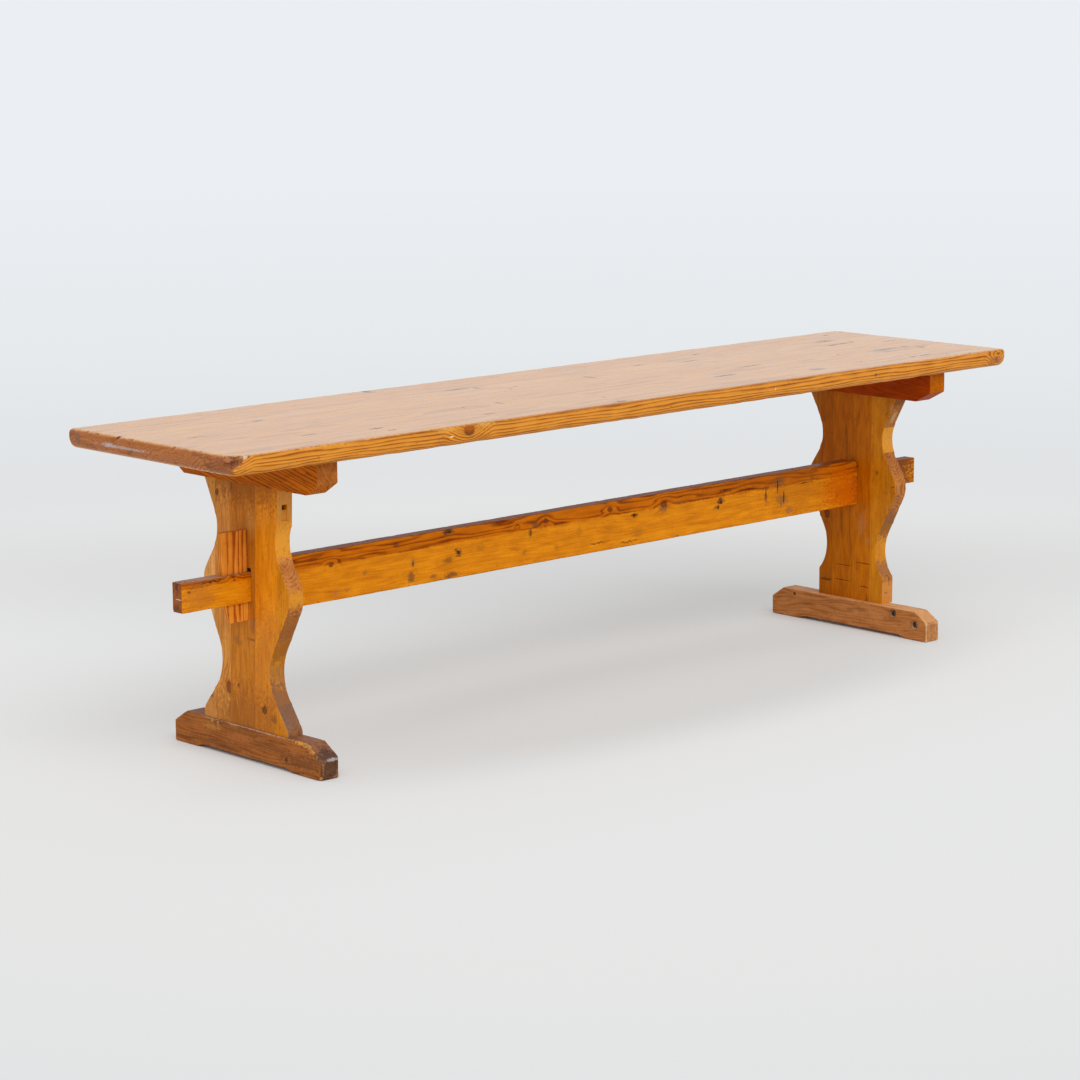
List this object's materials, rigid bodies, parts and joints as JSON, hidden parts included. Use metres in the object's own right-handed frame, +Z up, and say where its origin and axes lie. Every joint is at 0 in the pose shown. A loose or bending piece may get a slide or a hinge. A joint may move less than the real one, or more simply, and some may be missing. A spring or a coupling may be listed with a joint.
{
  "type": "trestle bench",
  "caption": "Pine trestle bench: glued plank seat on two shaped uprights with feet and bearers, tied by a through-tenoned stretcher with loose wedges.",
  "frame": {"origin": "on the floor, under the middle of the seat", "axes": "+X along the bench, +Y from the front edge to the back edge, +Z up"},
  "size_m": [1.5, 0.346, 0.44],
  "materials": {
    "seat_pine": "worn bare, once varnished",
    "upright_pine": "amber varnish",
    "rail_pine": "yellow-orange varnish",
    "bearer_pine": "amber varnish, aged dark",
    "wedge_pine": "amber varnish",
    "old_foot_pine": "dark varnish, worn at the edges",
    "new_foot_pine": "light varnish",
    "beech_peg": "bare",
    "steel_screw": "dull zinc"
  },
  "bodies": {
    "bench": {"left_bearer": "bearer_pine", "left_bearer_screws": "steel_screw", "left_ear_tongue": "beech_peg", "left_foot": "old_foot_pine", "left_foot_dowels": "beech_peg", "left_head_dowels": "beech_peg", "left_upright_back_cheek": "upright_pine", "left_upright_back_foot_ear": "upright_pine", "left_upright_back_head_ear": "upright_pine", "left_upright_front_cheek": "upright_pine", "left_upright_front_foot_ear": "upright_pine", "left_upright_stave_1": "upright_pine", "left_upright_stave_2": "upright_pine", "left_upright_stave_3": "upright_pine", "left_upright_stave_4": "upright_pine", "right_bearer": "bearer_pine", "right_bearer_screws": "steel_screw", "right_ear_tongues": "beech_peg", "right_foot": "new_foot_pine", "right_foot_dowels": "beech_peg", "right_foot_screws": "steel_screw", "right_head_dowels": "beech_peg", "right_upright_back_cheek": "upright_pine", "right_upright_back_head_ear": "upright_pine", "right_upright_front_cheek": "upright_pine", "right_upright_front_head_ear": "upright_pine", "right_upright_stave_1": "upright_pine", "right_upright_stave_2": "upright_pine", "right_upright_stave_3": "upright_pine", "right_upright_stave_4": "upright_pine", "seat_board_1": "seat_pine", "seat_board_2": "seat_pine", "seat_board_3": "seat_pine", "seat_board_4": "seat_pine", "stretcher_rail": "rail_pine"},
    "left_wedge": {"left_wedge": "wedge_pine"},
    "right_wedge": {"right_wedge": "wedge_pine"}
  },
  "joints": [
    {"name": "left_wedge_lift", "type": "slide", "parent": "bench", "child": "left_wedge", "axis": [0, 0, 1], "range_m": [0, 0.055]},
    {"name": "right_wedge_lift", "type": "slide", "parent": "bench", "child": "right_wedge", "axis": [0, 0, 1], "range_m": [0, 0.055]}
  ]
}
